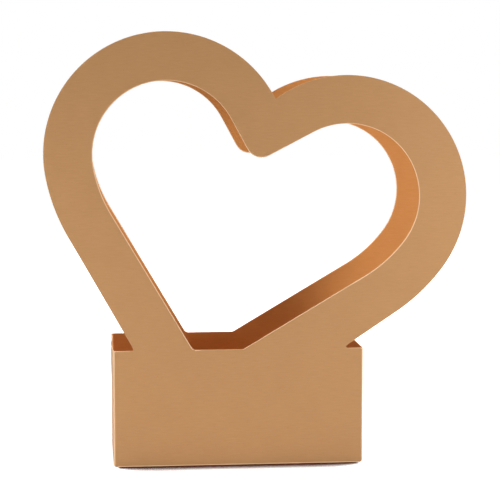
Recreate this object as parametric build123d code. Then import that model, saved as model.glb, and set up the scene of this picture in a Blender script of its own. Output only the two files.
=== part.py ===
from build123d import *
import os
from math import acos, cos, degrees, radians, sin, tan

# A flower box folded from kraft card. Its front and back panels rise above the box as tilted, open hearts,
# which frame the flowers and serve as handles. Two die-cut blanks make it. The front blank holds the front
# panel and both side walls, the back blank holds the back panel and two glue flaps, and every wall carries
# a base flap. The glue flaps are stuck inside the side walls, so the walls fold flat as a parallelogram.
# Millimetres and degrees. The origin is the middle of the footprint on the table, the front faces -Y.

# The box
BOX_WIDTH = 200.0
BOX_DEPTH = 100.0
SHOULDER_HEIGHT = 93.4
CARD = 0.6
CORNER_FOLD_RADIUS = 2.0  # outside of the upright folds of the front blank
BASE_FOLD_RADIUS = 1.2  # outside of the folds along the base
WALL_SETBACK = 0.5  # from the free edge of a side wall to the back of the box

# The heart, a pair of round lobes on a tilted middle line, each with a flatter flank above its leg
HEART_TILT = 13.3
HEART_OFFSET = 14.7  # heart's middle to the right of the box's middle
LEG_HEIGHT = 41.8  # heart's middle is this and a lobe's radius above the shoulder
LOBE_RADIUS = 96.2
LOBE_OVERLAP = 22.7  # how far each lobe passes the heart's middle line
FLANK_EASE = 53.8  # the flank's radius is larger than the lobe's by this
FLANK_ANGLE = 24.0  # below the line through both lobes, where the flank begins
BAND_WIDTH = 38.2  # card left between the outline and the opening, round the lobes

# Where the heart grows out of the box
LEFT_SHOULDER = 17.0  # free top edge of the panel beside the heart's left leg
RIGHT_SHOULDER = 16.8
SLOT_RADIUS = 1.2  # rounded end of the slot between a leg and its shoulder

# The opening of the heart
FLOOR_WIDTH = 40.0
FLOOR_OFFSET = -16.6  # middle of its straight lower edge from the box's middle
FLOOR_CORNER_RADIUS = 4.0
CUSP_HALF_ANGLE = 45.4
CUSP_LEAN = 3.7  # how much further than the heart its cusp leans
CUSP_RADIUS = 12.6

# The glue flaps
GLUE_FLAP_DEPTH = 20.0
GLUE_FLAP_INSET = 1.5  # below the shoulder and above the base fold
GLUE_FLAP_TAPER = 8.0  # how far each end slopes in

# The base, two long flaps that meet along a stepped line and a short flap on each side wall
FLAP_GAP = 1.0
LOCK_STEP = 16.0  # the stepped line runs half of this to each side of the middle
LOCK_OFFSET = 12.0  # middle of the step from the box's middle
LOCK_RADIUS = 5.0
LONG_RELIEF = 3.0  # from a corner fold to a long flap
SHORT_RELIEF = 9.0  # from the corner that closes up to a short flap
OPEN_RELIEF = 3.0  # from the corner that opens out to either flap
LONG_RAKE = 55.0  # angle of a long flap's edge at the corner that closes up
SHORT_RAKE = 32.0  # the same for a short flap
OPEN_RAKE = 44.0  # angle of either flap's edge at the corner that opens out
SHORT_TIP = 4.9  # free edge of a short flap

# The back blank lies one card inside the side walls, so its upright folds are one card smaller
BACK_FOLD_RADIUS = CORNER_FOLD_RADIUS - CARD
FOLD_X = BOX_WIDTH / 2 - CORNER_FOLD_RADIUS
FRONT_FOLD_Y = -BOX_DEPTH / 2 + CORNER_FOLD_RADIUS
BACK_FOLD_Y = BOX_DEPTH / 2 - BACK_FOLD_RADIUS
WALL_HEIGHT = SHOULDER_HEIGHT - BASE_FOLD_RADIUS

# The lobes sit round the heart's middle
HEART_HEIGHT = SHOULDER_HEIGHT + LEG_HEIGHT + LOBE_RADIUS
LOBE_REACH = LOBE_RADIUS - LOBE_OVERLAP


def heart_point(across, along):
    """Point of the panel's plane, given across and along the heart's tilted middle line."""
    tilt = radians(HEART_TILT)
    return Vector(
        HEART_OFFSET + across * cos(tilt) + along * sin(tilt),
        HEART_HEIGHT - across * sin(tilt) + along * cos(tilt),
    )


def on_circle(centre, radius, angle):
    """Point of a circle at an angle from the panel's +X."""
    return centre + Vector(radius * cos(radians(angle)), radius * sin(radians(angle)))


def touch_angle(point, centre, radius, side):
    """Angle at which the straight line from a point touches a circle, on its left (-1) or right (+1)."""
    arm = point - centre
    toward = degrees(acos(arm.X / arm.length))
    return side * degrees(acos(radius / arm.length)) - toward


def lobe_centres():
    """Middles of the left and right lobe, shared by the outline and the opening."""
    return heart_point(-LOBE_REACH, 0), heart_point(LOBE_REACH, 0)


def lobe_edges(foot, centre, radius, side, end_angle):
    """Straight leg from its foot, the flatter flank above it, and the lobe's arc to its end angle."""
    meet = side * (90 - FLANK_ANGLE) - 90 - HEART_TILT
    flank_radius = radius + FLANK_EASE
    flank_centre = on_circle(centre, -FLANK_EASE, meet)
    start = touch_angle(foot, flank_centre, flank_radius, side)
    whole_turn = side * 360
    return [
        Line(foot, on_circle(flank_centre, flank_radius, start)),
        CenterArc(flank_centre, flank_radius, start, (meet - start) % whole_turn),
        CenterArc(centre, radius, meet, (end_angle - meet) % whole_turn),
    ]


def panel_outline():
    """Box panel between its folds, with the closed heart above it."""
    left, right = lobe_centres()
    left_foot = Vector(LEFT_SHOULDER - BOX_WIDTH / 2, SHOULDER_HEIGHT)
    right_foot = Vector(BOX_WIDTH / 2 - RIGHT_SHOULDER, SHOULDER_HEIGHT)
    notch_angle = degrees(acos(LOBE_REACH / LOBE_RADIUS))
    box = Polyline(
        left_foot,
        (-FOLD_X, SHOULDER_HEIGHT),
        (-FOLD_X, BASE_FOLD_RADIUS),
        (FOLD_X, BASE_FOLD_RADIUS),
        (FOLD_X, SHOULDER_HEIGHT),
        right_foot,
    )
    heart = lobe_edges(left_foot, left, LOBE_RADIUS, -1, notch_angle - HEART_TILT)
    heart += lobe_edges(right_foot, right, LOBE_RADIUS, 1, 180 - notch_angle - HEART_TILT)
    outline = make_face(box.edges() + heart)
    feet = [outline.vertices().sort_by_distance(foot)[0] for foot in (left_foot, right_foot)]
    return fillet(feet, SLOT_RADIUS)


def heart_opening():
    """Opening of the heart: two lobes that run into a rounded cusp, cut off straight at the shoulder."""
    left, right = lobe_centres()
    radius = LOBE_RADIUS - BAND_WIDTH
    left_foot = Vector(FLOOR_OFFSET - FLOOR_WIDTH / 2, SHOULDER_HEIGHT)
    right_foot = Vector(FLOOR_OFFSET + FLOOR_WIDTH / 2, SHOULDER_HEIGHT)
    left_end = CUSP_HALF_ANGLE - HEART_TILT - CUSP_LEAN
    right_end = 180 - CUSP_HALF_ANGLE - HEART_TILT - CUSP_LEAN
    left_start, right_start = on_circle(left, radius, left_end), on_circle(right, radius, right_end)
    left_way = Vector(1, 0).rotate(Axis.Z, left_end - 90)
    right_way = Vector(1, 0).rotate(Axis.Z, right_end + 90)
    left_run = (right_start - left_start).cross(right_way).Z / left_way.cross(right_way).Z
    cusp = left_start + left_way * left_run
    edges = [Line(left_foot, right_foot)]
    edges += lobe_edges(left_foot, left, radius, -1, left_end)
    edges += lobe_edges(right_foot, right, radius, 1, right_end)
    edges += [Line(left_start, cusp), Line(right_start, cusp)]
    opening = make_face(edges)
    opening = fillet(opening.vertices().sort_by_distance(cusp)[0], CUSP_RADIUS)
    corners = [opening.vertices().sort_by_distance(foot)[0] for foot in (left_foot, right_foot)]
    return fillet(corners, FLOOR_CORNER_RADIUS)


def heart_panel(outer_y):
    """Upright panel with its open heart; its lower Y face is at outer_y."""
    sheet = extrude(panel_outline() - heart_opening(), CARD)
    return Pos(0, outer_y + CARD, 0) * Rot(90, 0, 0) * sheet


def side_wall(side):
    """Plain side wall from the front fold to its free edge at the back."""
    length = BOX_DEPTH - CORNER_FOLD_RADIUS - WALL_SETBACK
    place = Pos(side * (BOX_WIDTH - CARD) / 2, FRONT_FOLD_Y + length / 2, BASE_FOLD_RADIUS + WALL_HEIGHT / 2)
    return place * Box(CARD, length, WALL_HEIGHT)


def glue_flap(side):
    """Flap of the back blank with sloping ends, flat against the inside of a side wall."""
    low = BASE_FOLD_RADIUS + GLUE_FLAP_INSET
    high = SHOULDER_HEIGHT - GLUE_FLAP_INSET
    free_y = BACK_FOLD_Y - GLUE_FLAP_DEPTH
    outline = Polyline(
        (BACK_FOLD_Y, low),
        (BACK_FOLD_Y, high),
        (free_y, high - GLUE_FLAP_TAPER),
        (free_y, low + GLUE_FLAP_TAPER),
        close=True,
    )
    sheet = extrude(Plane.YZ * make_face(outline), CARD / 2, both=True)
    return Pos(side * (BOX_WIDTH - 3 * CARD) / 2, 0, 0) * sheet


def fold_strip(radius, length):
    """Quarter-round strip of folded card about +Z, in the quadrant between -X and -Y."""
    ring = Circle(radius) - Circle(radius - CARD)
    quadrant = Pos(-radius / 2, -radius / 2) * Rectangle(radius, radius)
    return extrude(ring & quadrant, length)


def upright_crease(x, y, radius, turn):
    """Crease of one upright corner; turn brings it from the front left to its own corner."""
    return Pos(x, y, BASE_FOLD_RADIUS) * Rot(0, 0, turn) * fold_strip(radius, WALL_HEIGHT)


def base_crease(turn, wall_distance, length):
    """Crease along the foot of one wall; turn brings it from the front to its own wall."""
    strip = Pos(-length / 2, 0, 0) * Rot(0, 90, 0) * Rot(0, 0, 90) * fold_strip(BASE_FOLD_RADIUS, length)
    return Rot(0, 0, turn) * Pos(0, BASE_FOLD_RADIUS - wall_distance, BASE_FOLD_RADIUS) * strip


def long_flap_outline(step_middle):
    """Long flap on its hinge line along X: raked at the corner that closes, stepped near its middle."""
    middle = BOX_DEPTH / 2 - BASE_FOLD_RADIUS - FLAP_GAP / 2
    long_reach = middle + LOCK_STEP / 2
    short_reach = middle - LOCK_STEP / 2
    closing_x = LONG_RELIEF - FOLD_X
    opening_x = FOLD_X - OPEN_RELIEF
    step_x = step_middle - FLAP_GAP / 2
    upper = Vector(step_x, long_reach)
    lower = Vector(step_x, short_reach)
    outline = Polyline(
        (closing_x, 0),
        (closing_x + long_reach / tan(radians(LONG_RAKE)), long_reach),
        upper,
        lower,
        (opening_x - short_reach / tan(radians(OPEN_RAKE)), short_reach),
        (opening_x, 0),
        close=True,
    )
    flap = make_face(outline)
    step = [flap.vertices().sort_by_distance(corner)[0] for corner in (upper, lower)]
    return fillet(step, LOCK_RADIUS)


def short_flap_outline():
    """Side flap on its hinge line along X: a tongue that keeps clear of the long flaps."""
    closing_x = -FRONT_FOLD_Y - SHORT_RELIEF
    opening_x = FRONT_FOLD_Y + OPEN_RELIEF
    closing_slope = 1 / tan(radians(SHORT_RAKE))
    opening_slope = 1 / tan(radians(OPEN_RAKE))
    reach = (closing_x - opening_x - SHORT_TIP) / (closing_slope + opening_slope)
    outline = Polyline(
        (closing_x, 0),
        (closing_x - reach * closing_slope, reach),
        (opening_x + reach * opening_slope, reach),
        (opening_x, 0),
        close=True,
    )
    return make_face(outline)


def base_flap(outline, turn, wall_distance):
    """Base flap laid flat on the table; turn brings it from the front to its own wall."""
    return Rot(0, 0, turn) * Pos(0, BASE_FOLD_RADIUS - wall_distance, 0) * extrude(outline, CARD)


def build():
    """All the pieces of the box by name."""
    half_width, half_depth = BOX_WIDTH / 2, BOX_DEPTH / 2
    side_length = BACK_FOLD_Y - FRONT_FOLD_Y
    parts = {
        "front_panel": heart_panel(-half_depth),
        "back_panel": heart_panel(half_depth - CARD),
    }
    for name, side in (("left", -1), ("right", 1)):
        parts[f"{name}_wall"] = side_wall(side)
        parts[f"{name}_glue_flap"] = glue_flap(side)
        parts[f"{name}_base_crease"] = base_crease(side * 90, half_width, side_length)
        parts[f"{name}_base_flap"] = base_flap(short_flap_outline(), side * 90, half_width)
    for name, turn, step in (("front", 0, LOCK_OFFSET), ("back", 180, -LOCK_OFFSET)):
        parts[f"{name}_base_crease"] = base_crease(turn, half_depth, 2 * FOLD_X)
        parts[f"{name}_base_flap"] = base_flap(long_flap_outline(step), turn, half_depth)
    parts["front_left_crease"] = upright_crease(-FOLD_X, FRONT_FOLD_Y, CORNER_FOLD_RADIUS, 0)
    parts["front_right_crease"] = upright_crease(FOLD_X, FRONT_FOLD_Y, CORNER_FOLD_RADIUS, 90)
    parts["back_right_crease"] = upright_crease(FOLD_X, BACK_FOLD_Y, BACK_FOLD_RADIUS, 180)
    parts["back_left_crease"] = upright_crease(-FOLD_X, BACK_FOLD_Y, BACK_FOLD_RADIUS, 270)
    return parts


os.makedirs("parts", exist_ok=True)
for node, shape in build().items():
    export_step(shape, f"parts/{node}.step")
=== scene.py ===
"""Looks of a folded kraft card flower box whose front and back panels rise as tilted open hearts."""

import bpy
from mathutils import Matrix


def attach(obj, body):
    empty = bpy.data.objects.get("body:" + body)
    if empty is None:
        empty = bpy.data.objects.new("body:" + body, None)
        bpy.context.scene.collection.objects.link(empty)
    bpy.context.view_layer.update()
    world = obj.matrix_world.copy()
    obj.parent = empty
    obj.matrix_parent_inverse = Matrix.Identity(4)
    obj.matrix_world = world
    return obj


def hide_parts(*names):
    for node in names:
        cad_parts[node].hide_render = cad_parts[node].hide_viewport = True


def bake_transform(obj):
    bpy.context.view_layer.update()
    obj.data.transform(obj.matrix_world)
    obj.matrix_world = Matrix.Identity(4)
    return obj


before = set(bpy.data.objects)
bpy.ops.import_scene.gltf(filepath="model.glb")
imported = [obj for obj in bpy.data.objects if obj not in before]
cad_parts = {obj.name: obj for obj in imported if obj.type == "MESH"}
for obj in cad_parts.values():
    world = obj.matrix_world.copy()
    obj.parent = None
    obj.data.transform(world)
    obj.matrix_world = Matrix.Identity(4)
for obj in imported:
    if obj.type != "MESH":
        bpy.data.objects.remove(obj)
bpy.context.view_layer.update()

import logging
import math
from dataclasses import dataclass
from enum import Enum
from typing import Callable

import bpy
import numpy as np
from mathutils import Matrix, Vector

LOG = logging.getLogger("heart_box")
MM = 0.001
BLANK_UNIT = 100.0  # one unit of the card's own UV map, in millimetres of the flat blank
SAME_POINT_DIGITS = 3  # decimals of a millimetre in which points agree that are one
CARD_IOR = 1.45
WHITE = "#ffffff"
MIX_SHARE, MIX_FIRST, MIX_SECOND, MIX_COLOUR = 0, 6, 7, 2  # sockets of a mix node for colours
FACE, EDGE, INSIDE = 0, 1, 2  # places of the finishes in a piece's list of materials

Array = np.ndarray
Piece = bpy.types.Object
Tree = bpy.types.NodeTree
Socket = bpy.types.NodeSocket
Span = tuple[float, float]
Colour = tuple[float, float, float, float]
Place = Callable[[Array, float], Array]
Folds = Callable[[Array], Array]


class Side(Enum):
    """Left or right of the box's middle, as a sign along X."""

    LEFT = -1
    RIGHT = 1


class Face(Enum):
    """Front or back of the box, as a sign along Y."""

    FRONT = -1
    BACK = 1


class Wall(Enum):
    """The four walls, by the turn in degrees that brings the front's base to them."""

    FRONT = 0
    RIGHT = 90
    BACK = 180
    LEFT = -90


def srgb(code: str) -> Colour:
    """Turns an sRGB hex colour into the linear colour that shaders take.

    Args:
        code: Six hex digits with a leading hash.

    Returns:
        Linear red, green, blue and an alpha of one.
    """
    parts = np.array([int(code[i:i + 2], 16) for i in (1, 3, 5)]) / 255
    linear = np.where(parts <= 0.04045, parts / 12.92, ((parts + 0.055) / 1.055) ** 2.4)
    return (*linear.tolist(), 1.0)


def add(tree: Tree, kind: str, inputs: dict | None = None, **settings) -> bpy.types.Node:
    """Adds one node with its settings, and fills or links its inputs.

    Args:
        tree: Node tree that gets the node.
        kind: Blender's name for the node.
        inputs: Values or output sockets by input name or number.
        settings: Properties of the node itself.

    Returns:
        The new node.
    """
    node = tree.nodes.new(kind)
    for name, value in settings.items():
        setattr(node, name, value)
    for key, value in (inputs or {}).items():
        if isinstance(value, Socket):
            tree.links.new(value, node.inputs[key])
        else:
            node.inputs[key].default_value = value
    return node


def ranged(tree: Tree, value: Socket, span: Span, result: Span = (0.0, 1.0)) -> Socket:
    """Carries a span of values over to another evenly, and keeps to its ends outside."""
    return add(tree, "ShaderNodeMapRange", {
        "Value": value, "From Min": span[0], "From Max": span[1], "To Min": result[0], "To Max": result[1],
    }).outputs["Result"]


def noise(tree: Tree, place: Socket, scale: float, detail: float, roughness: float = 0.5) -> Socket:
    """Adds a noise and hands back its level."""
    return add(tree, "ShaderNodeTexNoise", {
        "Vector": place, "Scale": scale, "Detail": detail, "Roughness": roughness,
    }).outputs["Fac"]


def reckon(tree: Tree, operation: str, first: Socket, second: Socket, **settings) -> Socket:
    """Works out one number from two."""
    return add(tree, "ShaderNodeMath", {0: first, 1: second}, operation=operation, **settings).outputs[0]


def mixed(tree: Tree, share: Socket, first: Socket | Colour, second: Socket | Colour) -> Socket:
    """Mixes two colours by the share of the second."""
    inputs = {MIX_SHARE: share, MIX_FIRST: first, MIX_SECOND: second}
    return add(tree, "ShaderNodeMix", inputs, data_type="RGBA").outputs[MIX_COLOUR]


def empty_tree(owner: bpy.types.Material | bpy.types.World) -> Tree:
    """Switches nodes on for a material or world and hands back its cleared tree."""
    owner.use_nodes = True
    owner.node_tree.nodes.clear()
    return owner.node_tree


@dataclass(frozen=True)
class CardFinish:
    """A finish of the card, which is one principled surface."""

    name: str

    def surface(self, tree: Tree) -> dict:
        """Adds the patterns to the material's tree, and gives the inputs of the surface."""
        raise NotImplementedError

    def build(self) -> bpy.types.Material:
        """Makes the material and hands it back."""
        material = bpy.data.materials.new(self.name)
        tree = empty_tree(material)
        surface = add(tree, "ShaderNodeBsdfPrincipled", {"IOR": CARD_IOR, **self.surface(tree)})
        add(tree, "ShaderNodeOutputMaterial", {"Surface": surface.outputs[0]})
        return material


@dataclass(frozen=True)
class KraftFace(CardFinish):
    """Smooth solid kraft board, calendered: an even golden brown with long, faint fibres along the blank.

    The fibres and clouds shift the brown by a few hundredths, and the surface is dull with a soft gloss.
    Along cuts and folds a pale line is partly the rubbed top ply and partly painted highlight.
    """

    name: str = "kraft_card_face"
    tone: str = "#bd8d5b"
    deep: str = "#a97848"
    # pale: the rubbed ply's colour, also laid on cuts and folds as painted highlight
    pale: str = "#f3cca4"
    fibre_length_mm: float = 9.0
    fibre_width_mm: float = 1.1  # real fibres are far finer; drawn this coarse to show
    cloud_mm: float = 26.0
    fleck_mm: float = 1.6
    roughness: Span = (0.56, 0.7)
    relief_mm: float = 0.03
    relief_strength: float = 0.35
    noise_span: Span = (0.3, 0.7)  # holds nearly all values of a noise
    fleck_span: Span = (0.68, 0.8)
    fibre_depth: float = 0.22  # largest share of the deep tone in fibres, clouds and flecks
    cloud_depth: float = 0.12
    fleck_depth: float = 0.35
    wear_and_highlight_span: Span = (0.2, 0.6)  # level where the pale line of wear and painted highlight starts to show, and where it is full
    wear_and_highlight_patches: Span = (0.75, 1.0)  # least and most of it that the clouds let through

    def surface(self, tree: Tree) -> dict:
        """Fibres, clouds and flecks mix two browns, and the wear_and_highlight attribute brings in the pale
        colour of rubbed ply and painted highlight.
        """
        flat = add(tree, "ShaderNodeUVMap", uv_map="flat").outputs["UV"]
        grain = add(tree, "ShaderNodeMapping", {
            "Vector": flat,
            "Scale": (BLANK_UNIT / self.fibre_length_mm, BLANK_UNIT / self.fibre_width_mm, 1.0),
        }).outputs["Vector"]
        fibre = noise(tree, grain, 1.0, detail=3.0, roughness=0.6)
        cloud = noise(tree, flat, BLANK_UNIT / self.cloud_mm, detail=2.0)
        fleck = noise(tree, flat, BLANK_UNIT / self.fleck_mm, detail=1.0)
        streaks = ranged(tree, fibre, self.noise_span, (0.0, self.fibre_depth))
        shaded = ranged(tree, cloud, self.noise_span, (0.0, self.cloud_depth))
        specks = ranged(tree, fleck, self.fleck_span, (0.0, self.fleck_depth))
        darker = reckon(tree, "ADD", reckon(tree, "ADD", streaks, shaded), specks, use_clamp=True)
        brown = mixed(tree, darker, srgb(self.tone), srgb(self.deep))
        # real wear and painted highlight: the attribute lays the pale colour along cuts and folds
        worn_and_highlit = add(tree, "ShaderNodeAttribute", attribute_name="wear_and_highlight").outputs["Fac"]
        crisp = ranged(tree, worn_and_highlit, self.wear_and_highlight_span)
        patchy = ranged(tree, cloud, self.noise_span, self.wear_and_highlight_patches)
        rub_and_highlight = reckon(tree, "MULTIPLY", crisp, patchy)
        relief = add(tree, "ShaderNodeBump", {
            "Height": fibre, "Strength": self.relief_strength, "Distance": self.relief_mm * MM,
        }).outputs["Normal"]
        return {
            "Base Color": mixed(tree, rub_and_highlight, brown, srgb(self.pale)),
            "Roughness": ranged(tree, fibre, self.noise_span, self.roughness),
            "Normal": relief,
        }


@dataclass(frozen=True)
class CutEdge(CardFinish):
    """Die-cut edge of kraft board: the pale core of pressed plies, dry and quite dull."""

    name: str = "kraft_cut_edge"
    tone: str = "#ebbf92"
    deep: str = "#d6a473"
    ply_mm: float = 1.4
    roughness: float = 0.85

    def surface(self, tree: Tree) -> dict:
        """Short noise along the cut mixes two pale browns."""
        place = add(tree, "ShaderNodeTexCoord").outputs["Object"]
        plies = noise(tree, place, 1.0 / (self.ply_mm * MM), detail=2.0, roughness=0.6)
        core = mixed(tree, plies, srgb(self.tone), srgb(self.deep))
        return {"Base Color": core, "Roughness": self.roughness}


@dataclass
class CardSheet:
    """A cut of card on its flat blank."""

    flat: Array  # points of the blank in millimetres, n by 2
    quads: Array  # corner numbers of its quads, m by 4
    wear_and_highlight: Array  # how far each point is pale, from 0 to 1: rubbed ply and painted highlight

    @staticmethod
    def from_grid(points: Array, wear_and_highlight: Array) -> "CardSheet":
        """Makes a sheet from a grid of blank points, quads turned anticlockwise.

        Args:
            points: Rows by columns by 2 array of blank points.
            wear_and_highlight: Rows by columns array of wear and painted highlight.

        Returns:
            The sheet.
        """
        rows, columns = wear_and_highlight.shape
        index = np.arange(rows * columns).reshape(rows, columns)
        corners = [index[:-1, :-1], index[:-1, 1:], index[1:, 1:], index[1:, :-1]]
        quads = np.stack(corners, axis=-1).reshape(-1, 4)
        flat = points.reshape(-1, 2)
        one, other = flat[quads[:, 2]] - flat[quads[:, 0]], flat[quads[:, 3]] - flat[quads[:, 1]]
        if np.sum(one[:, 0] * other[:, 1] - one[:, 1] * other[:, 0]) < 0:
            quads = quads[:, ::-1]
        return CardSheet(flat, quads, wear_and_highlight.reshape(-1))

    def joined(self, other: "CardSheet") -> "CardSheet":
        """Joins another sheet of the same blank, and makes one point of those that agree."""
        flat = np.concatenate([self.flat, other.flat])
        wear_and_highlight = np.concatenate([self.wear_and_highlight, other.wear_and_highlight])
        quads = np.concatenate([self.quads, other.quads + len(self.flat)])
        _, keep, merged = np.unique(
            np.round(flat, SAME_POINT_DIGITS), axis=0, return_index=True, return_inverse=True
        )
        return CardSheet(flat[keep], merged.reshape(-1)[quads], wear_and_highlight[keep])


@dataclass
class CardMaker:
    """Turns sheets into solid card with soft cut edges and the finishes on it."""

    card: float  # thickness in millimetres
    face: bpy.types.Material  # of the outer face and of the folds' ends
    edge: bpy.types.Material  # of the cut edges
    inside: bpy.types.Material  # of the face that looks into the box, coloured as painted shade
    soft: float = 0.12  # rounding of a cut edge in millimetres
    soft_steps: int = 2

    def build(self, name: str, sheet: CardSheet, place: Place, folds: Folds, smooth: bool = False) -> Piece:
        """Builds one piece of card.

        Every blank point is placed twice, on the outer face and one card further in, and each open border of
        the sheet gets a strip of quads between the two, in the pale finish unless the border is a fold.

        Args:
            name: Name of the piece.
            sheet: The cut on its blank.
            place: Gives the point in space, in millimetres, of blank points at a depth below the outer face.
            folds: Tells which border edges, given by their middles on the blank, are folds and not cuts.
            smooth: Whether the faces are shaded as one curve.

        Returns:
            The piece, at the origin with its place in its mesh.
        """
        count = len(sheet.flat)
        outer, inner = place(sheet.flat, 0.0), place(sheet.flat, self.card)
        points = np.concatenate([outer, inner]) * MM
        sides = np.concatenate([sheet.quads[:, [i, (i + 1) % 4]] for i in range(4)])
        code, back = sides @ [count, 1], sides @ [1, count]
        border = sides[~np.isin(code, back)]
        is_cut = ~folds(sheet.flat[border].mean(axis=1))
        rim = np.stack([border[:, 1], border[:, 0], border[:, 0] + count, border[:, 1] + count], axis=-1)
        quads = np.concatenate([sheet.quads, sheet.quads[:, ::-1] + count, rim])
        corner, under = outer[sheet.quads[0]], inner[sheet.quads[0]]
        normal = np.cross(corner[2] - corner[0], corner[3] - corner[1])
        if normal @ (corner[0] - under[0]) < 0:
            quads = quads[:, ::-1]
        faces = np.repeat([FACE, INSIDE], len(sheet.quads))
        rims = np.where(is_cut, EDGE, FACE)
        mesh = bpy.data.meshes.new(name)
        mesh.from_pydata(points.tolist(), [], quads.tolist())
        mesh.polygons.foreach_set("material_index", np.concatenate([faces, rims]))
        mesh.polygons.foreach_set("use_smooth", np.arange(len(quads)) < (len(faces) if smooth else 0))
        # the pale line of wear and painted highlight, for the face's shader
        wear_and_highlight = mesh.attributes.new("wear_and_highlight", "FLOAT", "POINT")
        wear_and_highlight.data.foreach_set("value", np.tile(sheet.wear_and_highlight, 2).astype(np.float32))
        corners = np.empty(len(mesh.loops), int)
        mesh.loops.foreach_get("vertex_index", corners)
        uv = mesh.uv_layers.new(name="flat")
        uv.data.foreach_set("uv", (sheet.flat[corners % count] / BLANK_UNIT).astype(np.float32).ravel())
        self.weigh_cuts(mesh, border[is_cut])
        for material in (self.face, self.edge, self.inside):
            mesh.materials.append(material)
        piece = bpy.data.objects.new(name, mesh)
        bpy.context.scene.collection.objects.link(piece)
        bevel = piece.modifiers.new("soft_cut", "BEVEL")
        bevel.width, bevel.segments, bevel.limit_method = self.soft * MM, self.soft_steps, "WEIGHT"
        return piece

    @staticmethod
    def weigh_cuts(mesh: bpy.types.Mesh, cuts: Array) -> None:
        """Marks the two long edges of every cut for rounding.

        Args:
            mesh: Mesh of the piece.
            cuts: Point pairs of the cut border on the outer face, the first half of the points.
        """
        total = len(mesh.vertices)
        ends = np.empty(2 * len(mesh.edges), int)
        mesh.edges.foreach_get("vertices", ends)
        ends = np.sort(ends.reshape(-1, 2), axis=1) @ [total, 1]
        marked = np.sort(np.concatenate([cuts, cuts + total // 2]), axis=1) @ [total, 1]
        weight = mesh.attributes.new("bevel_weight_edge", "FLOAT", "EDGE")
        weight.data.foreach_set("value", np.isin(ends, marked).astype(np.float32))


@dataclass(frozen=True)
class BoxSizes:
    """Sizes of the box in millimetres, the same as in its solids."""

    width: float = 200.0
    depth: float = 100.0
    shoulder: float = 93.4
    card: float = 0.6
    corner_radius: float = 2.0
    base_radius: float = 1.2
    wall_setback: float = 0.5
    pale_edge_width: float = 1.1  # width of the pale line along a cut: rubbed ply and painted highlight

    @property
    def fold_x(self) -> float:
        """Distance of the upright folds from the middle."""
        return self.width / 2 - self.corner_radius

    @property
    def front_fold_y(self) -> float:
        """Place of the front folds."""
        return self.corner_radius - self.depth / 2

    @property
    def back_radius(self) -> float:
        """Outside of the back blank's folds, one card inside the side walls."""
        return self.corner_radius - self.card

    @property
    def back_fold_y(self) -> float:
        """Place of the back folds."""
        return self.depth / 2 - self.back_radius

    def corner(self, face: Face) -> Span:
        """Outer radius of a panel's upright folds, and their place."""
        if face is Face.FRONT:
            return self.corner_radius, self.front_fold_y
        return self.back_radius, self.back_fold_y


@dataclass
class CardPart:
    """A part of the box, with the sizes of the box and the maker of its card."""

    box: BoxSizes
    maker: CardMaker


def polar(centre: Array, radius: float, angles: Array | float) -> Array:
    """Points of a circle, or one point, at angles in degrees from the blank's first axis."""
    turn = np.radians(angles)
    return centre + radius * np.stack([np.cos(turn), np.sin(turn)], axis=-1)


def straight(start: Array, end: Array, count: int) -> Array:
    """Points at equal steps from one point to another, with both of them."""
    return start + np.linspace(0, 1, count)[:, None] * (end - start)


def between_cuts(width: Array, rub_and_highlight: float, count: int) -> Array:
    """Shares of the widths in a column: a pale line of wear and painted highlight at both ends, and even
    steps between.
    """
    margin = rub_and_highlight / width
    even = margin + np.linspace(0, 1, count) * (1 - 2 * margin)
    return np.concatenate([np.zeros_like(width), even, np.ones_like(width)], axis=1)


def rounded_corner(corner: Array, start: Array, end: Array, radius: float, count: int) -> Array:
    """Arc that rounds a corner.

    The arc touches both arms at radius over the tangent of half their angle from the corner. Its points lie
    at equal turns about the middle, which is on the bisector.

    Args:
        corner: The sharp corner.
        start: A point along the arm where the arc starts.
        end: A point along the arm where it ends.
        radius: Radius of the arc.
        count: Number of points.

    Returns:
        The points, count by 2.
    """
    first = (start - corner) / np.linalg.norm(start - corner)
    last = (end - corner) / np.linalg.norm(end - corner)
    half = np.arccos(np.clip(first @ last, -1, 1)) / 2
    bisector = (first + last) / np.linalg.norm(first + last)
    middle = corner + bisector * radius / np.sin(half)
    from_arm = corner + first * radius / np.tan(half) - middle
    to_arm = corner + last * radius / np.tan(half) - middle
    sweep = np.pi - 2 * half
    share = np.linspace(0, 1, count)[:, None]
    return middle + (np.sin((1 - share) * sweep) * from_arm + np.sin(share * sweep) * to_arm) / np.sin(sweep)


def resampled(path: Array, count: int) -> Array:
    """Points at equal steps along a line of points, with both of its ends."""
    walked = np.concatenate([[0.0], np.cumsum(np.linalg.norm(np.diff(path, axis=0), axis=1))])
    stops = np.linspace(0, walked[-1], count)
    return np.stack([np.interp(stops, walked, path[:, i]) for i in range(2)], axis=-1)


@dataclass(frozen=True)
class HeartSizes:
    """Sizes of the heart in millimetres and degrees, the same as in its solids."""

    tilt: float = 13.3
    offset: float = 14.7
    leg_height: float = 41.8
    lobe_radius: float = 96.2
    lobe_overlap: float = 22.7
    flank_ease: float = 53.8
    flank_angle: float = 24.0
    band: float = 38.2
    left_shoulder: float = 17.0
    right_shoulder: float = 16.8
    slot_radius: float = 1.2
    floor_width: float = 40.0
    floor_offset: float = -16.6
    floor_radius: float = 4.0
    cusp_half_angle: float = 45.4
    cusp_lean: float = 3.7
    cusp_radius: float = 12.6


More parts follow.
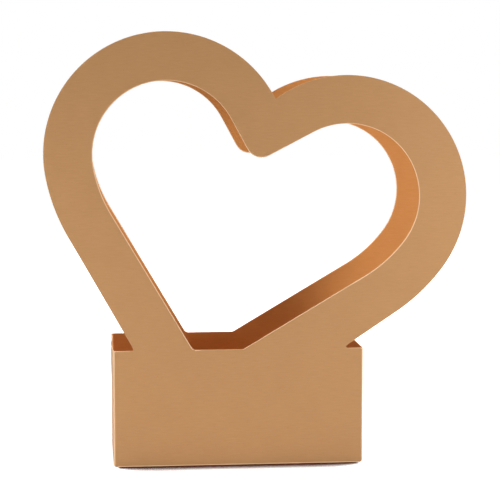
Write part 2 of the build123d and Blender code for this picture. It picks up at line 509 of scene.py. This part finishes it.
@dataclass
class HeartPanel(CardPart):
    """One panel: the plain box front below the shoulder and the arch of the heart above it."""

    heart: HeartSizes = HeartSizes()
    outline_wear_and_highlight: float = 0.35  # wear and painted highlight, less than on the opening's sides, which have 1
    floor_wear_and_highlight: float = 0.35
    shoulder_wear_and_highlight: float = 0.5
    corner_steps: int = 9
    leg_steps: int = 14
    flank_steps: int = 28
    lobe_steps: int = 150
    across_steps: int = 9
    shoulder_steps: int = 6
    height_steps: int = 12

    def lobe_centre(self, side: Side) -> Array:
        """Middle of one lobe of the outline and the opening, beside the heart's tilted middle line."""
        heart, turn = self.heart, math.radians(self.heart.tilt)
        across = side.value * (heart.lobe_radius - heart.lobe_overlap)
        height = self.box.shoulder + heart.leg_height + heart.lobe_radius
        return np.array([heart.offset + across * math.cos(turn), height - across * math.sin(turn)])

    def cusp(self, radius: float) -> tuple[Array, dict[Side, float]]:
        """The sharp point where the lines that leave both lobes of the opening meet.

        Args:
            radius: Radius of the opening's lobes.

        Returns:
            The point, and the angle at which each lobe ends and its line begins.
        """
        turn = self.heart.tilt + self.heart.cusp_lean
        half = self.heart.cusp_half_angle
        ends = {Side.LEFT: half - turn, Side.RIGHT: 180 - half - turn}
        (left, left_way), (right, right_way) = (
            (polar(self.lobe_centre(side), radius, end), polar(np.zeros(2), 1.0, end + side.value * 90))
            for side, end in ends.items()
        )
        run = np.linalg.solve(np.stack([left_way, -right_way], axis=-1), right - left)[0]
        return left + run * left_way, ends

    def limb(
        self, foot: Array, toe: Array, ease: float, radius: float, side: Side, end: float
    ) -> tuple[Array, Array]:
        """One limb: a rounded corner, a straight leg, the flank and the lobe.

        The leg's line touches the flank's circle, which has a larger radius than the lobe's and runs on into
        it where both have the same tangent.

        Args:
            foot: The sharp corner below the leg, on the shoulder's height.
            toe: A point on the other arm of that corner.
            ease: Radius that rounds the corner.
            radius: Radius of the lobe.
            side: Which of the two limbs it is.
            end: Angle at which the lobe ends.

        Returns:
            Points up to the end of the flank, and those of the lobe.
        """
        sign, centre = side.value, self.lobe_centre(side)
        meet = sign * (90 - self.heart.flank_angle) - 90 - self.heart.tilt
        eased = radius + self.heart.flank_ease
        middle = polar(centre, -self.heart.flank_ease, meet)
        arm = foot - middle
        length = np.linalg.norm(arm)
        touch = sign * math.degrees(math.acos(eased / length)) - math.degrees(math.acos(arm[0] / length))
        whole = sign * 360
        flank = polar(middle, eased, touch + np.linspace(0, 1, self.flank_steps) * ((meet - touch) % whole))
        lobe = polar(centre, radius, meet + np.linspace(0, 1, self.lobe_steps) * ((end - meet) % whole))
        corner = rounded_corner(foot, toe, flank[0], ease, self.corner_steps)
        leg = straight(corner[-1], flank[0], self.leg_steps)
        return np.concatenate([corner, leg[1:], flank[1:]]), lobe

    def outer_limb(self, side: Side) -> Array:
        """Outer edge of one limb from the slot at the shoulder to the notch between the lobes."""
        sizes, sign = self.heart, side.value
        shoulder = sizes.left_shoulder if side is Side.LEFT else sizes.right_shoulder
        foot = np.array([sign * (self.box.width / 2 - shoulder), self.box.shoulder])
        notch = math.degrees(math.acos((sizes.lobe_radius - sizes.lobe_overlap) / sizes.lobe_radius))
        end = (notch if side is Side.LEFT else 180 - notch) - sizes.tilt
        toe = foot + [sign, 0.0]
        rise, lobe = self.limb(foot, toe, sizes.slot_radius, sizes.lobe_radius, side, end)
        return np.concatenate([rise, lobe[1:]])

    def inner_limb(self, side: Side) -> Array:
        """Edge of the opening along one limb, from the floor of the opening to the tip of its cusp."""
        sizes, radius = self.heart, self.heart.lobe_radius - self.heart.band
        half = side.value * sizes.floor_width / 2
        foot, toe = (np.array([sizes.floor_offset + x, self.box.shoulder]) for x in (half, -half))
        cusp, ends = self.cusp(radius)
        rise, lobe = self.limb(foot, toe, sizes.floor_radius, radius, side, ends[side])
        far_side = Side(-side.value)
        far = polar(self.lobe_centre(far_side), radius, ends[far_side])
        tip = rounded_corner(cusp, lobe[-1], far, sizes.cusp_radius, 2 * self.corner_steps + 1)
        top = resampled(np.concatenate([lobe, tip[:self.corner_steps + 1]]), self.lobe_steps)
        return np.concatenate([rise, top[1:]])

    def arch(self) -> CardSheet:
        """The heart's band: straight rungs between the matching points of its two edges.

        Returns:
            The sheet of the band, from the left leg's base round to the right leg's.
        """
        outer, inner = (
            np.concatenate([limb(Side.LEFT), limb(Side.RIGHT)[-2::-1]])
            for limb in (self.outer_limb, self.inner_limb)
        )
        width = np.linalg.norm(outer - inner, axis=1)[:, None]
        share = between_cuts(width, self.box.pale_edge_width, self.across_steps)
        points = inner[:, None, :] + share[..., None] * (outer - inner)[:, None, :]
        wear_and_highlight = np.zeros(share.shape)
        # the opening's sides get the full pale line of wear and painted highlight
        wear_and_highlight[:, 0], wear_and_highlight[:, -1] = 1.0, self.outline_wear_and_highlight
        return CardSheet.from_grid(points, wear_and_highlight)

    def lower(self, arch: CardSheet) -> CardSheet:
        """The plain panel between the folds, with columns that meet the feet of the band.

        Args:
            arch: The band above it.

        Returns:
            The sheet from the base fold to the shoulder.
        """
        step = self.across_steps + 2
        left, right = arch.flat[:step, 0][::-1], arch.flat[-step:, 0]
        fold, low, high = self.box.fold_x, self.box.base_radius, self.box.shoulder
        columns = np.concatenate([
            np.linspace(-fold, left[0], self.shoulder_steps)[:-1], left,
            np.linspace(left[-1], right[0], self.shoulder_steps)[1:-1], right,
            np.linspace(right[-1], fold, self.shoulder_steps)[1:],
        ])
        rows = np.append(np.linspace(low, high - self.box.pale_edge_width, self.height_steps), high)
        across, up = np.meshgrid(columns, rows)
        wear_and_highlight = np.zeros(across.shape)
        is_foot = (columns > left[0]) & (columns < left[-1]) | (columns > right[0]) & (columns < right[-1])
        is_floor = (columns >= left[-1]) & (columns <= right[0])
        # pale line of wear and painted highlight along the shoulder and the opening's floor
        wear_and_highlight[-1] = np.where(is_foot, 0.0, np.where(is_floor, self.floor_wear_and_highlight, self.shoulder_wear_and_highlight))
        return CardSheet.from_grid(np.stack([across, up], axis=-1), wear_and_highlight)

    def build(self, face: Face) -> Piece:
        """Builds the panel for the front or the back.

        Args:
            face: Which panel it is.

        Returns:
            The piece.
        """
        arch = self.arch()
        sheet = arch.joined(self.lower(arch))
        sign, outside = face.value, self.box.depth / 2
        fold, low = self.box.fold_x, self.box.base_radius

        def place(flat: Array, depth: float) -> Array:
            """Stands the blank upright, the card's depth going inwards."""
            return np.stack([flat[:, 0], np.full(len(flat), sign * (outside - depth)), flat[:, 1]], axis=-1)

        def folds(middle: Array) -> Array:
            """The upright folds and the base fold."""
            return np.isclose(np.abs(middle[:, 0]), fold) | np.isclose(middle[:, 1], low)

        return self.maker.build(f"{face.name.lower()}_heart_panel", sheet, place, folds)


@dataclass
class SideWall(CardPart):
    """A side wall and its glue flap; the left wall bows out a little between its folds, near the top."""

    glue_depth: float = 20.0
    glue_inset: float = 1.5
    glue_taper: float = 8.0
    bow: float = 1.2
    bow_rise: Span = (35.0, 85.0)
    steps: int = 28

    def rise(self, height: Array) -> Array:
        """Share of the bow at a height: a smooth step between two heights."""
        low, high = self.bow_rise
        share = np.clip((height - low) / (high - low), 0, 1)
        return share * share * (3 - 2 * share)

    def build_wall(self, side: Side) -> Piece:
        """Builds the wall: a grid of depth by height, pushed out by a squared sine along its depth.

        Args:
            side: Which wall it is.

        Returns:
            The piece.
        """
        start, end = self.box.front_fold_y, self.box.depth / 2 - self.box.wall_setback
        low, high, wear_and_highlight = self.box.base_radius, self.box.shoulder, self.box.pale_edge_width
        along = np.append(np.linspace(start, end - wear_and_highlight, self.steps), end)
        up = np.append(np.linspace(low, high - wear_and_highlight, self.steps), high)
        grid = np.stack(np.meshgrid(along, up), axis=-1)
        worn_and_highlit = np.zeros(grid.shape[:2])
        # pale line of wear and painted highlight along the top and the back edge
        worn_and_highlit[-1], worn_and_highlit[:, -1] = 1.0, 1.0
        sign, outside, bow = side.value, self.box.width / 2, self.bow if side is Side.LEFT else 0.0
        free = self.box.back_fold_y - self.glue_depth

        def place(flat: Array, depth: float) -> Array:
            """Stands the blank upright beside the box and bows it."""
            share = np.clip((flat[:, 0] - start) / (free - start), 0, 1)
            out = bow * np.sin(np.pi * share) ** 2 * self.rise(flat[:, 1])
            return np.stack([sign * (outside - depth + out), flat[:, 0], flat[:, 1]], axis=-1)

        def folds(middle: Array) -> Array:
            """The fold to the front and the base fold."""
            return np.isclose(middle[:, 0], start) | np.isclose(middle[:, 1], low)

        sheet = CardSheet.from_grid(grid, worn_and_highlit)
        return self.maker.build(f"{side.name.lower()}_side_wall", sheet, place, folds, smooth=True)

    def build_glue_flap(self, side: Side) -> Piece:
        """Builds the glue flap: rungs from the fold to its free edge, between ends that slope in evenly.

        Args:
            side: Which wall it is stuck to.

        Returns:
            The piece.
        """
        box, wear_and_highlight = self.box, self.box.pale_edge_width
        fold, free = box.back_fold_y, box.back_fold_y - self.glue_depth
        along = np.append(np.linspace(fold, free + wear_and_highlight, self.steps), free)
        slope = self.glue_taper * (fold - along) / self.glue_depth
        low = box.base_radius + self.glue_inset + slope
        high = box.shoulder - self.glue_inset - slope
        up = low + between_cuts((high - low)[:, None], wear_and_highlight, self.steps).T * (high - low)
        grid = np.stack([np.broadcast_to(along, up.shape), up], axis=-1)
        worn_and_highlit = np.zeros(up.shape)
        # pale line of wear and painted highlight along the cut edges
        worn_and_highlit[[0, -1]], worn_and_highlit[:, -1] = 1.0, 1.0
        sign, outside = side.value, box.width / 2 - box.card

        def place(flat: Array, depth: float) -> Array:
            """Stands the blank upright against the inside of the wall."""
            return np.stack([np.full(len(flat), sign * (outside - depth)), flat[:, 0], flat[:, 1]], axis=-1)

        def folds(middle: Array) -> Array:
            """The fold to the back panel."""
            return np.isclose(middle[:, 0], fold)

        sheet = CardSheet.from_grid(grid, worn_and_highlit)
        return self.maker.build(f"{side.name.lower()}_glue_tab", sheet, place, folds)


@dataclass
class FoldedCorners(CardPart):
    """The upright folds: quarter rounds of card about the four corner axes."""

    turns: int = 13
    steps: int = 24
    # share of the pale line along the fold's crest: rubbed ply and painted highlight
    rub_and_highlight: float = 0.75

    def build(self, face: Face, side: Side) -> Piece:
        """Builds one corner: an arc from the panel to the wall, carried up the height.

        Args:
            face: The panel that the fold belongs to.
            side: The wall that it leads to.

        Returns:
            The piece.
        """
        box = self.box
        radius, fold_y = box.corner(face)
        length = radius * np.pi / 2
        share = np.linspace(0, 1, self.turns)
        up = np.append(np.linspace(box.base_radius, box.shoulder - box.pale_edge_width, self.steps), box.shoulder)
        grid = np.stack(np.meshgrid(side.value * (box.fold_x + share * length), up), axis=-1)
        # painted highlight and wear, strongest at the crest of the fold
        worn_and_highlit = np.broadcast_to(self.rub_and_highlight * np.sin(np.pi * share) ** 2, grid.shape[:2]).copy()
        worn_and_highlit[-1] = 1.0

        def place(flat: Array, depth: float) -> Array:
            """Bends the blank round the corner's axis."""
            turn = (np.abs(flat[:, 0]) - box.fold_x) / radius
            return np.stack([
                side.value * (box.fold_x + (radius - depth) * np.sin(turn)),
                fold_y + face.value * (radius - depth) * np.cos(turn),
                flat[:, 1],
            ], axis=-1)

        def folds(middle: Array) -> Array:
            """Where the strip runs on into the panel and the wall."""
            reach = np.abs(middle[:, 0]) - box.fold_x
            return np.isclose(reach, 0) | np.isclose(reach, length)

        sheet = CardSheet.from_grid(grid, worn_and_highlit)
        name = f"{face.name.lower()}_{side.name.lower()}_fold"
        return self.maker.build(name, sheet, place, folds, smooth=True)


@dataclass
class FoldedBase(CardPart):
    """The base: a flap on every wall and the quarter-round fold that carries it."""

    gap: float = 1.0
    lock_step: float = 16.0
    lock_offset: float = 12.0
    lock_radius: float = 5.0
    long_relief: float = 3.0
    short_relief: float = 9.0
    open_relief: float = 3.0
    long_rake: float = 55.0
    short_rake: float = 32.0
    open_rake: float = 44.0
    short_tip: float = 4.9
    steps: int = 16
    turns: int = 9
    # share of the pale line of wear and painted highlight along a base fold
    rub_and_highlight: float = 0.8
    rub_and_highlight_bias: float = 0.5  # under 1 brings the pale line of wear and painted highlight from the middle of a fold towards its wall

    def wall_distance(self, wall: Wall) -> float:
        """Distance of a wall's outer face from the middle of the box."""
        return (self.box.depth if wall in (Wall.FRONT, Wall.BACK) else self.box.width) / 2

    def turned(self, wall: Wall, along: Array, inward: Array, height: Array) -> Array:
        """Turns points of the front's base about the upright middle line to a wall.

        Args:
            wall: The wall.
            along: Distances along the wall, to the right as seen from the front.
            inward: Places across it, from the outside towards the back.
            height: Heights above the table.

        Returns:
            The points in space, n by 3.
        """
        turn = math.radians(wall.value)
        return np.stack([
            along * math.cos(turn) - inward * math.sin(turn),
            along * math.sin(turn) + inward * math.cos(turn),
            height,
        ], axis=-1)

    def free_edge(self, wall: Wall) -> tuple[Array, Array]:
        """The free edge of a flap, from the corner that closes up to the one that opens out.

        Args:
            wall: The wall that carries the flap.

        Returns:
            Points of the hinge line and the matching points of the free edge.
        """
        long_cot = 1 / math.tan(math.radians(self.long_rake))
        open_cot = 1 / math.tan(math.radians(self.open_rake))
        if wall in (Wall.FRONT, Wall.BACK):
            middle = self.box.depth / 2 - self.box.base_radius - self.gap / 2
            far, near = middle + self.lock_step / 2, middle - self.lock_step / 2
            closing, opening = self.long_relief - self.box.fold_x, self.box.fold_x - self.open_relief
            step = (self.lock_offset if wall is Wall.FRONT else -self.lock_offset) - self.gap / 2
            upper, lower = np.array([step, far]), np.array([step, near])
            start = np.array([closing + far * long_cot, far])
            end = np.array([opening - near * open_cot, near])
            first = rounded_corner(upper, start, lower, self.lock_radius, self.turns)
            last = rounded_corner(lower, upper, end, self.lock_radius, self.turns)
            before, after = straight(start, first[0], self.steps), straight(last[-1], end, self.steps)
            edge = np.concatenate([before[:-1], first, last, after[1:]])
            keys = [0, self.steps - 1, self.steps + 2 * self.turns - 2, len(edge) - 1]
            stops = [closing, step - 2 * self.lock_radius, step + self.lock_radius, opening]
            hinge = np.interp(np.arange(len(edge)), keys, stops)
        else:
            fold = self.box.front_fold_y
            closing, opening = -fold - self.short_relief, fold + self.open_relief
            short_cot = 1 / math.tan(math.radians(self.short_rake))
            reach = (closing - opening - self.short_tip) / (short_cot + open_cot)
            start = np.array([closing - reach * short_cot, reach])
            end = np.array([opening + reach * open_cot, reach])
            edge = straight(start, end, self.steps)
            hinge = np.linspace(closing, opening, self.steps)
        return np.stack([hinge, np.zeros(len(edge))], axis=-1), edge

    def build_flap(self, wall: Wall) -> Piece:
        """Builds a flap: straight rungs from the hinge line to the free edge, laid flat on the table.

        Args:
            wall: The wall that carries it.

        Returns:
            The piece.
        """
        hinge, edge = self.free_edge(wall)
        margin = self.box.pale_edge_width / np.linalg.norm(edge - hinge, axis=1)[:, None]
        share = np.concatenate([np.linspace(0, 1, self.steps) * (1 - margin), np.ones_like(margin)], axis=1)
        grid = hinge[:, None, :] + share[..., None] * (edge - hinge)[:, None, :]
        worn_and_highlit = np.zeros(share.shape)
        # pale line of wear and painted highlight along the cut edges
        worn_and_highlit[[0, -1]], worn_and_highlit[:, -1] = 1.0, 1.0
        start = self.box.base_radius - self.wall_distance(wall)

        def place(flat: Array, depth: float) -> Array:
            """Lays the blank on the table, its outside down."""
            return self.turned(wall, flat[:, 0], start + flat[:, 1], np.full(len(flat), depth))

        def folds(middle: Array) -> Array:
            """The hinge line."""
            return np.isclose(middle[:, 1], 0)

        sheet = CardSheet.from_grid(grid, worn_and_highlit)
        return self.maker.build(f"{wall.name.lower()}_base_leaf", sheet, place, folds)

    def build_fold(self, wall: Wall) -> Piece:
        """Builds a base fold: an arc from the wall to the flap, carried along the wall.

        Round the arc its ends run in evenly from those of the wall to those of the flap.

        Args:
            wall: The wall that it runs along.

        Returns:
            The piece.
        """
        box, radius = self.box, self.box.base_radius
        if wall in (Wall.FRONT, Wall.BACK):
            ends = np.array([-box.fold_x, box.fold_x])
        else:
            ends = np.array([box.front_fold_y, box.back_fold_y])
            ends = ends if wall is Wall.RIGHT else -ends[::-1]
        length = radius * np.pi / 2
        share = np.linspace(0, 1, self.turns)
        flap_ends = np.sort(self.free_edge(wall)[0][[0, -1], 0])
        first, last = ends[:, None] + (flap_ends - ends)[:, None] * share
        along = first[:, None] + (last - first)[:, None] * np.linspace(0, 1, 2 * self.steps)
        grid = np.stack([along, np.broadcast_to((share * length)[:, None], along.shape)], axis=-1)
        # painted highlight and wear, moved up the fold towards the wall
        rub = self.rub_and_highlight * np.sin(np.pi * share ** self.rub_and_highlight_bias) ** 2
        worn_and_highlit = np.broadcast_to(rub[:, None], grid.shape[:2])
        hinge = radius - self.wall_distance(wall)

        def place(flat: Array, depth: float) -> Array:
            """Bends the blank under the wall."""
            turn = flat[:, 1] / radius
            inward, height = hinge - (radius - depth) * np.cos(turn), radius - (radius - depth) * np.sin(turn)
            return self.turned(wall, flat[:, 0], inward, height)

        def folds(middle: Array) -> Array:
            """Where the strip runs on into the wall and the flap."""
            return np.isclose(middle[:, 1], 0) | np.isclose(middle[:, 1], length)

        sheet = CardSheet.from_grid(grid, worn_and_highlit)
        return self.maker.build(f"{wall.name.lower()}_base_fold_strip", sheet, place, folds, smooth=True)


@dataclass(frozen=True)
class Stand:
    """Place of a camera or lamp that looks at the studio's target."""

    name: str
    azimuth: float  # degrees from straight in front, positive to the right
    elevation: float  # degrees above the horizon
    distance: float  # metres from the target


@dataclass(frozen=True)
class SoftLight(Stand):
    """A rectangular light."""

    width: float  # metres
    height: float
    power: float  # watts


@dataclass(frozen=True)
class Studio:
    """White floor and background, soft lights, and the camera."""

    target: tuple[float, float, float] = (0.0136, 0.0, 0.168)
    view: Stand = Stand("view", -5.549, 5.439, 1.38355)
    lens: float = 121.26
    sensor: float = 36.0
    ambient: float = 0.02
    floor_half: float = 6.0
    floor_drop: float = 0.0002
    floor_tone: str = "#f2f2f2"
    floor_glow: float = 0.8
    clearing: Span = (0.3, 0.7)  # metres from the middle where its white rises
    painted_shadow_reach: float = 0.045  # reach of the painted contact shadow along the box, in metres
    painted_shadow_open: Span = (0.355, 0.565)  # open share of a look, darkest and clear
    painted_shadow_samples: int = 24
    # dark red brown of the painted contact shadow
    painted_shadow_tone: str = "#3a1606"
    lights: tuple[SoftLight, ...] = (
        SoftLight("right_light", 48.6, 10.0, 0.597, 0.15, 0.12, 1.2),
        SoftLight("left_light", -53.1, -8.2, 0.649, 0.15, 0.12, 1.16),
        SoftLight("top_light", 0.0, 90.0, 1.332, 0.8, 0.6, 25.5),
        SoftLight("back_light", 180.0, 25.0, 1.8, 1.4, 1.0, 11.0),
    )

    def aimed(self, stand: Stand, data: bpy.types.ID) -> bpy.types.Object:
        """Places a camera or lamp round the target, looking at it.

        Args:
            stand: Its place.
            data: Camera or lamp data.

        Returns:
            The object.
        """
        side, up = math.radians(stand.azimuth), math.radians(stand.elevation)
        back = Vector((math.sin(side) * math.cos(up), -math.cos(side) * math.cos(up), math.sin(up)))
        thing = bpy.data.objects.new(stand.name, data)
        turn = (-back).to_track_quat("-Z", "Y").to_matrix().to_4x4()
        thing.matrix_world = Matrix.Translation(Vector(self.target) + back * stand.distance) @ turn
        bpy.context.scene.collection.objects.link(thing)
        return thing

    def build_camera(self) -> None:
        """Sets the camera where the photograph was taken from."""
        data = bpy.data.cameras.new(self.view.name)
        data.lens, data.sensor_width = self.lens, self.sensor
        bpy.context.scene.camera = self.aimed(self.view, data)

    def build_light(self, light: SoftLight) -> None:
        """Adds one soft light."""
        lamp = bpy.data.lights.new(light.name, "AREA")
        lamp.shape, lamp.size, lamp.size_y = "RECTANGLE", light.width, light.height
        lamp.energy = light.power
        self.aimed(light, lamp).visible_camera = False

    @staticmethod
    def seen(tree: Tree) -> Socket:
        """One for rays that show the background: from the camera, a mirror or clear glass."""
        path = add(tree, "ShaderNodeLightPath").outputs
        gloss = reckon(tree, "MAXIMUM", path["Is Camera Ray"], path["Is Glossy Ray"])
        return reckon(tree, "MAXIMUM", gloss, path["Is Transmission Ray"])

    def build_world(self) -> None:
        """A white world to look at, which lights the object much less than it shows."""
        world = bpy.data.worlds.new("studio")
        tree = empty_tree(world)
        strength = ranged(tree, self.seen(tree), (0.0, 1.0), (self.ambient, 1.0))
        light = add(tree, "ShaderNodeBackground", {"Color": srgb(WHITE), "Strength": strength})
        add(tree, "ShaderNodeOutputWorld", {"Surface": light.outputs[0]})
        bpy.context.scene.world = world

    def painted_contact_shadow(self, tree: Tree) -> Socket:
        """Share of painted contact shadow: one on the floor along walls that face the front or the back, and
        none beside the other walls.

        Two looks, slanted up towards the back and towards the front, find how much cover is near.
        """
        slant = math.sqrt(0.5)
        looks = [add(tree, "ShaderNodeCombineXYZ", {"Y": y, "Z": slant}) for y in (-slant, slant)]
        skies = [
            add(tree, "ShaderNodeAmbientOcclusion", {
                "Distance": self.painted_shadow_reach, "Normal": look.outputs[0],
            }, samples=self.painted_shadow_samples).outputs["AO"]
            for look in looks
        ]
        return ranged(tree, reckon(tree, "MINIMUM", *skies), self.painted_shadow_open, (1.0, 0.0))

    def build_floor(self) -> None:
        """A wide floor that shows as white, a little less so round the box.

        It keeps the soft shadow, and has a painted contact shadow, a dark line where the box stands on it.
        Light that it throws back on the box comes from its plain paint alone.
        """
        half, height = self.floor_half, -self.floor_drop
        corners = [(x * half, y * half, height) for x, y in ((-1, -1), (1, -1), (1, 1), (-1, 1))]
        mesh = bpy.data.meshes.new("floor")
        mesh.from_pydata(corners, [], [(0, 1, 2, 3)])
        material = bpy.data.materials.new("white_floor")
        tree = empty_tree(material)
        place = add(tree, "ShaderNodeTexCoord").outputs["Object"]
        away = add(tree, "ShaderNodeVectorMath", {0: place}, operation="LENGTH").outputs["Value"]
        glow = ranged(tree, away, self.clearing, (self.floor_glow, 1.0))
        # painted contact shadow: the dark tone goes into the floor's paint and glow along the box
        line, dark = self.painted_contact_shadow(tree), srgb(self.painted_shadow_tone)
        paint, shine = (mixed(tree, line, srgb(tone), dark) for tone in (self.floor_tone, WHITE))
        painted = add(tree, "ShaderNodeBsdfDiffuse", {"Color": paint})
        shining = add(tree, "ShaderNodeEmission", {"Color": shine, "Strength": glow})
        shown = add(tree, "ShaderNodeAddShader", {0: painted.outputs[0], 1: shining.outputs[0]})
        plain = add(tree, "ShaderNodeBsdfDiffuse", {"Color": srgb(self.floor_tone)})
        shaders = {0: self.seen(tree), 1: plain.outputs[0], 2: shown.outputs[0]}
        both = add(tree, "ShaderNodeMixShader", shaders)
        add(tree, "ShaderNodeOutputMaterial", {"Surface": both.outputs[0]})
        mesh.materials.append(material)
        floor = bpy.data.objects.new("floor", mesh)
        bpy.context.scene.collection.objects.link(floor)

    def build(self) -> None:
        """Sets up the whole studio."""
        bpy.context.scene.view_settings.view_transform = "Standard"
        self.build_camera()
        self.build_world()
        self.build_floor()
        for light in self.lights:
            self.build_light(light)


def bind(piece: Piece, node: str, body: str) -> None:
    """Lets a piece stand for a solid and ride on its body.

    Args:
        piece: The piece.
        node: The solid that it stands for.
        body: The body that carries it.
    """
    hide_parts(node)
    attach(piece, body)
    LOG.info("%s stands for %s on %s", piece.name, node, body)


def bend(piece: Piece, node: str, bodies: tuple[str, str], start: Array, end: Array) -> None:
    """Lets a fold stand for a solid, with its place kept in its mesh.

    Args:
        piece: The fold's strip.
        node: The solid that it stands for.
        bodies: The body before the fold and the one after it.
        start: Point in millimetres near the fold's first end; not used.
        end: Point in millimetres near the fold's second end; not used.
    """
    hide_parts(node)
    (np.asarray(start) * MM).tolist()
    (np.asarray(end) * MM).tolist()
    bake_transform(piece)
    LOG.info("%s stands for %s and bends from %s to %s", piece.name, node, *bodies)


@dataclass
class FlowerBox(CardPart):
    """The whole box, with its flat pieces and the back right fold on the bodies that move them."""

    inset: float = 0.15  # share of a fold's chord at each end by which its ends are drawn in

    def chord(self, start: Array, end: Array) -> tuple[Array, Array]:
        """Draws the two ends of a fold's chord in towards its middle."""
        return start + self.inset * (end - start), end - self.inset * (end - start)

    def build_walls(self) -> None:
        """Builds both panels, both side walls and their glue flaps."""
        panel, wall = HeartPanel(self.box, self.maker), SideWall(self.box, self.maker)
        for face in Face:
            name = face.name.lower()
            bind(panel.build(face), f"{name}_panel", name)
        for side in Side:
            name = f"{side.name.lower()}_wall"
            bind(wall.build_wall(side), name, name)
            bind(wall.build_glue_flap(side), f"{side.name.lower()}_glue_flap", name)

    def build_corners(self) -> None:
        """Builds the upright folds.

        The one at the back right is the open end of the four walls and stays on the back.
        """
        box, corners = self.box, FoldedCorners(self.box, self.maker)
        for face in Face:
            for side in Side:
                piece = corners.build(face, side)
                node = f"{face.name.lower()}_{side.name.lower()}_crease"
                if (face, side) == (Face.BACK, Side.RIGHT):
                    bind(piece, node, "back")
                    continue
                radius, fold_y = box.corner(face)
                on_panel = np.array([side.value * box.fold_x, fold_y + face.value * radius, 0.0])
                on_wall = np.array([side.value * (box.fold_x + radius), fold_y, 0.0])
                start, end = self.chord(on_panel, on_wall)
                wall = f"{side.name.lower()}_wall"
                if face is Face.FRONT:
                    bend(piece, node, ("front", wall), start, end)
                else:
                    bend(piece, node, (wall, "back"), end, start)

    def build_base(self) -> None:
        """Builds the four base flaps and the folds that carry them."""
        base, radius = FoldedBase(self.box, self.maker), self.box.base_radius
        owners = {Wall.FRONT: "front", Wall.BACK: "back", Wall.LEFT: "left_wall", Wall.RIGHT: "right_wall"}
        for wall in Wall:
            name = wall.name.lower()
            bind(base.build_flap(wall), f"{name}_base_flap", f"{name}_base_flap")
            outside = base.wall_distance(wall)
            inward, height = np.array([-outside, radius - outside]), np.array([radius, 0.0])
            start, end = self.chord(*base.turned(wall, np.zeros(2), inward, height))
            bodies = (owners[wall], f"{name}_base_flap")
            bend(base.build_fold(wall), f"{name}_base_crease", bodies, start, end)


def main() -> None:
    """Builds the box and the studio."""
    logging.basicConfig(level=logging.INFO, format="%(message)s")
    box = BoxSizes()
    # painted shade: the same card, coloured redder and deeper for the shaded faces inside the box
    inside = KraftFace("kraft_card_inside_painted_shade", tone="#cb8744", deep="#b76f2e")
    maker = CardMaker(box.card, KraftFace().build(), CutEdge().build(), inside.build())
    flower_box = FlowerBox(box, maker)
    flower_box.build_walls()
    flower_box.build_corners()
    flower_box.build_base()
    Studio().build()
    bpy.context.view_layer.update()


if __name__ == "__main__":
    main()
